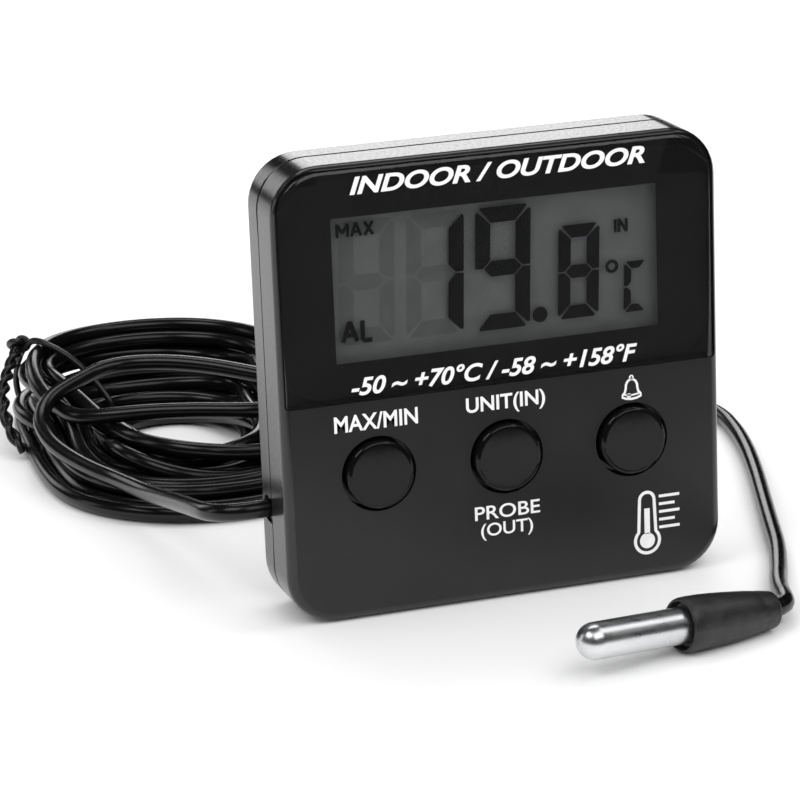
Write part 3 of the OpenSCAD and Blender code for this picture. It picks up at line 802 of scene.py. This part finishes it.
for strand, start in (("a", 0.0), ("b", math.pi)):
    points = []
    for i, p in enumerate(twist_line):
        ahead = Vector(twist_line[min(i + 1, len(twist_line) - 1)])
        along = (ahead - Vector(twist_line[max(0, i - 1)])).normalized()
        side = along.cross(Vector((1, 0, 0))).normalized()
        other = along.cross(side)
        a = start + i * TWIST_RATE
        points.append(Vector(p) + (side * math.cos(a) + other * math.sin(a)) * TIE_WIRE_R)
    for p in points:
        p.z = max(p.z, TIE_WIRE_R)
    name = "tie_twist_" + strand
    strand_piece = add_tube(name, points, TIE_WIRE_R, "tie_black", "case", sides=TIE_SIDES)

# ---------------------------------------------------------------- the probe's sleeve

SLEEVE_PROFILE = (
    (0.0, 1.45),
    (0.0, 2.45),
    (0.25, 2.75),
    (0.7, 2.85),
    (1.0, 2.82),
    (1.3, 2.95),
    (1.6, 2.92),
    (1.9, 3.04),
    (2.2, 3.0),
    (2.5, 3.12),
    (2.8, 3.08),
    (3.4, 3.2),
    (5.0, 3.42),
    (7.0, 3.66),
    (9.0, 3.86),
    (11.0, 3.99),
    (13.0, 4.06),
    (15.2, 4.1),
    (16.3, 4.08),
    (16.8, 3.98),
    (17.0, 3.8),
    (16.98, 3.6),
    (16.8, 3.5),
    (16.2, 3.4),
    (15.8, 3.3),
    (15.7, 2.76),
    (9.0, 2.76),
)
SLEEVE_SIDES = 64
SEAM_PROUD = 0.05
SEAM_FROM_R = 3
SAG = 0.035
SAG_FROM_R = 2.9
SLEEVE_SMOOTH = 50


def add_sleeve():
    """A moulded rubber sleeve: fine rings at its rear, a shallow swell, a rolled mouth and a
    mould seam on both sides."""
    bm = bmesh.new()
    place = Matrix.Translation(PROBE_PLACE) @ PROBE_TURN
    rings = []
    for x, r in SLEEVE_PROFILE:
        ring = []
        for i in range(SLEEVE_SIDES):
            a = math.tau * i / SLEEVE_SIDES
            seam = SEAM_PROUD if r > SEAM_FROM_R and i in (0, SLEEVE_SIDES // 2) else 0.0
            sag = SAG * math.sin(3 * a + 0.6 * x) * (r > SAG_FROM_R)
            out = r + seam + sag
            q = place @ Vector((x, out * math.cos(a), out * math.sin(a)))
            ring.append(bm.verts.new(Vector((q.x, q.y, max(q.z, 0.0))) * MM))
        rings.append(ring)
    rings.append(rings[0])
    for here, there in zip(rings, rings[1:]):
        for i in range(SLEEVE_SIDES):
            j = (i + 1) % SLEEVE_SIDES
            bm.faces.new((here[i], here[j], there[j], there[i]))
    finish = "sleeve_rubber"
    return add_mesh("probe_sleeve_moulded", bm, finish, "case", SLEEVE_SMOOTH)


sleeve = add_sleeve()
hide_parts("probe_sleeve")

# ---------------------------------------------------------------- the housing

dress("front_cover", "case", "case_black", groove=PARTING_CHAMFER, side="case_side")
dress("rear_cover", "case", "case_black", groove=PARTING_CHAMFER, side="case_side")
dress("battery_door", "door", "case_black")
dress("fold_out_stand", "stand", "case_black", bevel=0.15)
dress("display_lens", "case", "lens_smoke", bevel=0.15, segments=3)
dress("case_screws", "case", "steel", bevel=0.05)
front_glass = dress(
    "lcd_front_glass", "case", "lcd_glass", bevel=0.05, segments=1, squeeze=0.05
)
front_glass.data.materials[0] = FINISH["lcd_clear"]

# ---------------------------------------------------------------- the display

SEGMENT_NEAR = 2.96
SEGMENT_FAR = 3.0
GHOST_NEAR = 3.765
GHOST_FAR = 3.79
LCD_SLANT = math.tan(math.radians(2))
MITRE_GAP = 0.16
MITRE_CUT = 0.28
BIG_DIGIT = (8.8, 18.9, 2.4)
SMALL_DIGIT = (6.6, 14.5, 2.0)
UNIT_DIGIT = (3.6, 7.9, 1.15)
DIGITS = {"1": "bc", "9": "abcdfg", "8": "abcdefg", "C": "adef"}
LIT_DIGITS = (
    ("1", -14.0, 41.7, BIG_DIGIT),
    ("9", -3.4, 41.6, BIG_DIGIT),
    ("8", 9.9, 41.9, SMALL_DIGIT),
    ("C", 20.6, 41.8, UNIT_DIGIT),
)
UNLIT_DIGITS = (("8", -24.6, 41.7, BIG_DIGIT), ("8", -14.0, 41.7, BIG_DIGIT))
POINT_PLACE = (7.07, 43.1)
POINT_R = 1.2
DEGREE_PLACE = (18.83, 49.24)
DEGREE_R = 0.8
DEGREE_W = 0.52
DEGREE_SIDES = 24


def digit(bm, name, x, z, size, near, far):
    """The lit bars of one seven-bar digit, its lower left corner at x, z."""
    width, height, bar = size
    half = height / 2
    g = MITRE_GAP
    c = bar * MITRE_CUT
    shapes = {
        "a": (
            (c + g, height),
            (width - c - g, height),
            (width - c, height - c * 0.4),
            (width - bar - g * 0.4, height - bar),
            (bar + g * 0.4, height - bar),
            (c, height - c * 0.4),
        ),
        "f": (
            (0, half + g),
            (0, height - c - g),
            (c * 0.5, height - c * 0.7 - g),
            (bar, height - bar - g * 1.4),
            (bar, half + bar / 2 + g),
            (bar * 0.5, half + g * 0.6),
        ),
        "g": (
            (bar * 0.5 + g * 1.4, half),
            (bar + g, half + bar / 2),
            (width - bar - g, half + bar / 2),
            (width - bar * 0.5 - g * 1.4, half),
            (width - bar - g, half - bar / 2),
            (bar + g, half - bar / 2),
        ),
    }
    shapes["b"] = tuple((width - px, pz) for px, pz in shapes["f"])
    shapes["c"] = tuple((px, height - pz) for px, pz in shapes["b"])
    shapes["e"] = tuple((px, height - pz) for px, pz in shapes["f"])
    shapes["d"] = tuple((px, height - pz) for px, pz in shapes["a"])
    for bar_name in DIGITS[name]:
        outline = [(x + px + pz * LCD_SLANT, z + pz) for px, pz in shapes[bar_name]]
        add_plate(bm, outline, near, far)


LETTERS = {
    "M": (
        0.88,
        (
            ((0, 0), (0, 1)),
            ((0, 1), (0.44, 0.3)),
            ((0.44, 0.3), (0.88, 1)),
            ((0.88, 1), (0.88, 0)),
        ),
    ),
    "A": (0.8, (((0, 0), (0.4, 1)), ((0.4, 1), (0.8, 0)), ((0.14, 0.34), (0.66, 0.34)))),
    "X": (0.7, (((0, 0), (0.7, 1)), ((0, 1), (0.7, 0)))),
    "I": (0.0, (((0, 0), (0, 1)),)),
    "N": (0.66, (((0, 0), (0, 1)), ((0, 1), (0.66, 0)), ((0.66, 0), (0.66, 1)))),
    "L": (0.52, (((0, 1), (0, 0)), ((0, 0), (0.52, 0)))),
}
LETTER_STROKE = 0.19
LETTER_GAP = 0.04
LETTER_WIDTH = 0.74
STROKE_RISE = 0.004
LCD_WORDS = (
    ("MAX", -24.6, 58.2, 2.5),
    ("IN", 19.3, 54.2, 2.5),
    ("AL", -24.5, 42.1, 3.8),
)


def drawn_word(text, x, z, height):
    """A word of plain stroked capitals, as an LCD draws them, its lower left corner at x, z."""
    bm = bmesh.new()
    thick = LETTER_STROKE * height
    x += thick / 2
    for letter in text:
        width, strokes = LETTERS[letter]
        for k, (start, end) in enumerate(strokes):
            line = [
                (x + px * height * LETTER_WIDTH, z + thick / 2 + pz * (height - thick))
                for px, pz in (start, end)
            ]
            add_stroke(bm, line, thick, SEGMENT_NEAR - STROKE_RISE * k, SEGMENT_FAR)
        x += width * height * LETTER_WIDTH + thick + LETTER_GAP * height
    return bm


def add_display():
    """The reading of 19.8 °C, the unlit bars of two digits behind it, and the three words."""
    lit = bmesh.new()
    for name, x, z, size in LIT_DIGITS:
        digit(lit, name, x, z, size, SEGMENT_NEAR, SEGMENT_FAR)
    add_plate(lit, round_outline(*POINT_PLACE, POINT_R), SEGMENT_NEAR, SEGMENT_FAR)
    ring = round_outline(*DEGREE_PLACE, DEGREE_R, DEGREE_SIDES)
    add_stroke(lit, ring, DEGREE_W, SEGMENT_NEAR, SEGMENT_FAR, True)
    add_mesh("display_digits", lit, "lcd_dark", "case")
    faint = bmesh.new()
    for name, x, z, size in UNLIT_DIGITS:
        digit(faint, name, x, z, size, GHOST_NEAR, GHOST_FAR)
    add_mesh("display_unlit", faint, "lcd_ghost", "case")
    for text, x, z, height in LCD_WORDS:
        word = drawn_word(text, x, z, height)
        add_mesh("display_" + text.lower(), word, "lcd_dark", "case")


add_display()

# ---------------------------------------------------------------- printing on the front

INK = 0.03
ICON_W = 0.36
BELL_PLACE = (20.45, 28.75)
SIGN_PLACE = (22.6, 5.9)
BELL_RING_W = 0.22
SIGN_W = 0.5
SIGN_COLUMN_W = 0.9
SIGN_MARK_W = 0.45
SIGN_MARK_STEP = 1.25
SIGN_MARKS = 5
LETTER_WELD = 0.0004
SLANTED = 0.28
PRINTED = (
    ("print_title", "INDOOR / OUTDOOR", (-23.1, 23.3, 65.35, 68.05), SLANTED, 0.03),
    ("print_range", "-50 ~ +70°C / -58 ~ +158°F", (-24.1, 21.5, 34.9, 37.8), SLANTED, 0.024),
    ("print_max_min", "MAX/MIN", (-27, -13.9, 29.5, 32.1), 0, 0.02),
    ("print_unit", "UNIT(IN)", (-6.25, 6.4, 29.3, 32.4), 0, 0.02),
    ("print_probe", "PROBE", (-5.4, 5.1, 12.9, 15.1), 0, 0.01),
    ("print_out", "(OUT)", (-4.5, 3.9, 9.6, 12.3), 0, 0.01),
)


def lettering(name, words, box, shear, bold):
    """Printed words fitted to box (left, right, bottom, top), standing INK proud of the front."""
    left, right, bottom, top = box
    curve = bpy.data.curves.new(name, "FONT")
    curve.body = words
    curve.size = 1
    curve.shear = shear
    curve.offset = bold
    curve.extrude = 0.1
    curve.resolution_u = 6
    text = bpy.data.objects.new(name, curve)
    scene.collection.objects.link(text)
    bpy.context.view_layer.update()
    mesh = bpy.data.meshes.new_from_object(
        text.evaluated_get(bpy.context.evaluated_depsgraph_get())
    )
    bpy.data.objects.remove(text)
    bm = bmesh.new()
    bm.from_mesh(mesh)
    bmesh.ops.remove_doubles(bm, verts=bm.verts, dist=LETTER_WELD)
    xs = [v.co.x for v in bm.verts]
    ys = [v.co.y for v in bm.verts]
    x_least, y_least = min(xs), min(ys)
    x_scale = (right - left) / (max(xs) - x_least)
    z_scale = (top - bottom) / (max(ys) - y_least)
    for v in bm.verts:
        depth = -INK if v.co.z > 0 else 0.0
        x = left + (v.co.x - x_least) * x_scale
        z = bottom + (v.co.y - y_least) * z_scale
        v.co = Vector((x * MM, (FRONT_Y + depth) * MM, z * MM))
    return add_mesh(name, bm, "ink_white", "case")


for printed in PRINTED:
    lettering(*printed)


def add_icons():
    """A bell over the alarm button and a plain thermometer sign at the lower right."""
    bm = bmesh.new()
    x, z = BELL_PLACE
    bell = [(-1.5, 0.55), (-1.45, 0.95), (-1.1, 1.3), (-0.95, 1.9), (-0.9, 2.5), (-0.65, 3.0)]
    bell += [(-0.3, 3.25), (0, 3.3)]
    bell += [(-px, pz) for px, pz in bell[-2::-1]]
    bell += [(0.9, 0.3), (0, 0.18), (-0.9, 0.3)]
    add_stroke(bm, [(x + px, z + pz) for px, pz in bell], ICON_W, -INK, 0, True)
    add_stroke(bm, round_outline(x, z + 3.6, 0.28, 14), BELL_RING_W, -INK, 0, True)
    brim = [(x - 1.2, z + 0.95), (x, z + 0.78), (x + 1.2, z + 0.95)]
    add_stroke(bm, brim, ICON_W * 0.7, -INK, 0)
    add_plate(bm, round_outline(x - 0.45, z + 0.75, 0.38, 16), -INK, 0)
    x, z = SIGN_PLACE
    bulb = round_outline(x, z, 2.0, 40)
    stem = [(px, pz) for px, pz in bulb if pz < z + 1.55]
    stem.sort(key=lambda q: math.atan2(q[0] - x, q[1] - z) % math.tau)
    turns = np.linspace(0, math.pi, 12)
    cap = [(x - 1.2 * math.cos(t), z + 6.6 + 1.2 * math.sin(t)) for t in turns]
    add_stroke(bm, stem + cap, SIGN_W, -INK, 0, True)
    add_plate(bm, round_outline(x, z, 1.25, 30), -INK, 0)
    add_stroke(bm, [(x, z + 1.1), (x, z + 5.2)], SIGN_COLUMN_W, -INK, 0)
    for k in range(SIGN_MARKS):
        level = z + 1.9 + k * SIGN_MARK_STEP
        reach = 3.4 if k % 2 == 0 else 2.6
        mark = [(x + 2.0, level), (x + 2.0 + reach, level)]
        add_stroke(bm, mark, SIGN_MARK_W, -INK, 0)
    add_mesh("print_icons", bm, "ink_white", "case")


add_icons()

# ---------------------------------------------------------------- studio


def add_stage(name, corners, finish):
    mesh = bpy.data.meshes.new(name)
    mesh.from_pydata(corners, [], [(0, 1, 2, 3)])
    mesh.materials.append(finish)
    panel = bpy.data.objects.new(name, mesh)
    scene.collection.objects.link(panel)
    return panel


def add_light(name, place, aim, size, power):
    data = bpy.data.lights.new(name, "AREA")
    data.shape = "RECTANGLE"
    data.size, data.size_y = size
    data.energy = power
    light = bpy.data.objects.new(name, data)
    light.location = place
    light.rotation_euler = (Vector(aim) - Vector(place)).to_track_quat("-Z", "Y").to_euler()
    light.visible_camera = False
    scene.collection.objects.link(light)


def rectangle(left, right, front, back, z):
    return [(left, front, z), (right, front, z), (right, back, z), (left, back, z)]


FLOOR_HALF = 6
FLOOR_Z = -0.0002
FLAG_HALF = 1.5
FLAG_FRONT = -3
FLAG_BACK = -0.084
FLAG_Z = 0.0015
floor = material("floor", (246, 246, 246), (250, 250, 250), (0.7, 0.8), 3, 60, ior=1.2)
flag = material("flag", (10, 10, 10), (14, 14, 14), (0.8, 0.9), 3, 60)
floor_corners = rectangle(-FLOOR_HALF, FLOOR_HALF, -FLOOR_HALF, FLOOR_HALF, FLOOR_Z)
flag_corners = rectangle(-FLAG_HALF, FLAG_HALF, FLAG_FRONT, FLAG_BACK, FLAG_Z)
add_stage("floor", floor_corners, floor)
# a dark card that only reflections see, lying before the case
dark = add_stage("flag", flag_corners, flag)
dark.visible_camera = False
dark.visible_diffuse = False
dark.visible_shadow = False
dark.visible_transmission = False

WORLD_STRENGTH = 0.68
world = bpy.data.worlds.new("studio")
world.use_nodes = True
world.node_tree.nodes["Background"].inputs["Color"].default_value = (1, 1, 1, 1)
world.node_tree.nodes["Background"].inputs["Strength"].default_value = WORLD_STRENGTH
scene.world = world
world.cycles_visibility.glossy = False
add_light("key", (-0.8, -0.3, 1.0), (0, 0.03, 0.03), (0.7, 0.5), 3.5)
add_light("front", (0.25, -0.95, 1.15), (0, 0, 0.03), (1.5, 0.9), 8.0)
add_light("right", (0.8, -0.12, 0.95), (0.02, -0.04, 0.02), (0.5, 0.6), 1.6)
add_light("top", (0.1, 0.55, 1.1), (0, 0.05, 0.02), (0.8, 0.3), 2.5)
add_light("rear", (0.42, 1.5, 0.5), (0, 0.05, 0.05), (0.5, 0.5), 2.3)
add_light("rear_left", (-0.5, 1.45, 0.47), (0, 0.05, 0.05), (0.5, 0.5), 1.3)
add_light("side", (-1.1, 0.5, 0.35), (-0.03, 0.05, 0.04), (0.3, 0.6), 0.75)
scene.view_settings.view_transform = "Standard"
scene.view_settings.look = "None"
